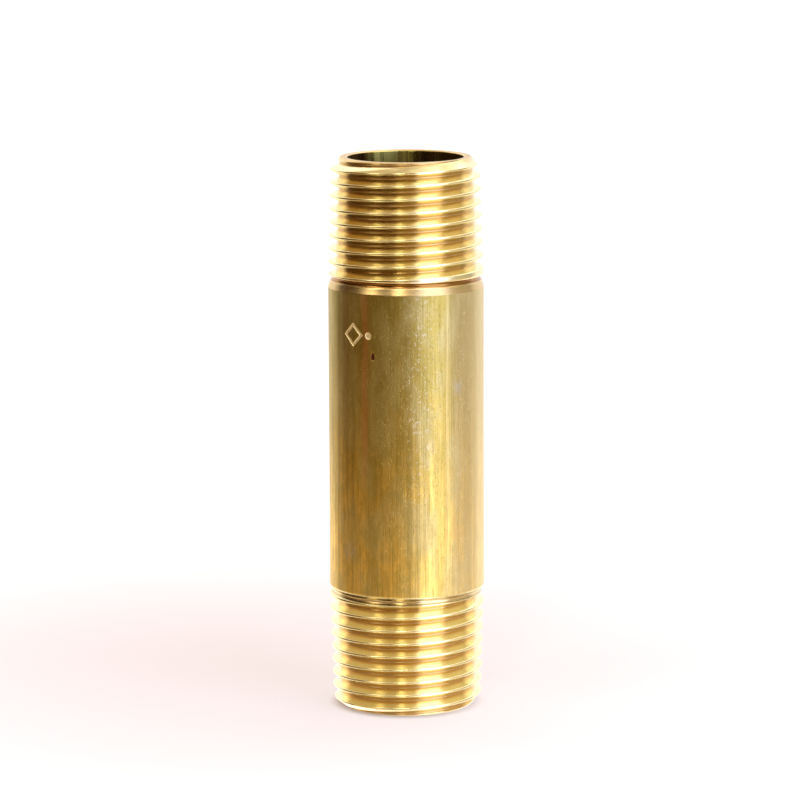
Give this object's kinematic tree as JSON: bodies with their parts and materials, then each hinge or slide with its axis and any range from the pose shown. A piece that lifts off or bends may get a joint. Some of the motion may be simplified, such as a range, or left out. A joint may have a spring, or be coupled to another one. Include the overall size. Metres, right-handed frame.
{
  "type": "threaded pipe nipple",
  "caption": "Straight brass tube with a tapered right-hand pipe thread and chamfer on each end, a plain barrel between them and an open bore.",
  "frame": {"origin": "centre of the bottom end face, on the bore axis", "axes": "+Z along the tube towards the end whose thread stops at a turned band, -Y towards the front, with the engraved mark between -Y and -X"},
  "size_m": [0.0214, 0.0214, 0.0762],
  "materials": {
    "brass": "drawn barrel with fine lengthwise streaks, bright cut threads and end chamfers"
  },
  "bodies": {
    "root": {"nipple": "brass"}
  },
  "joints": []
}
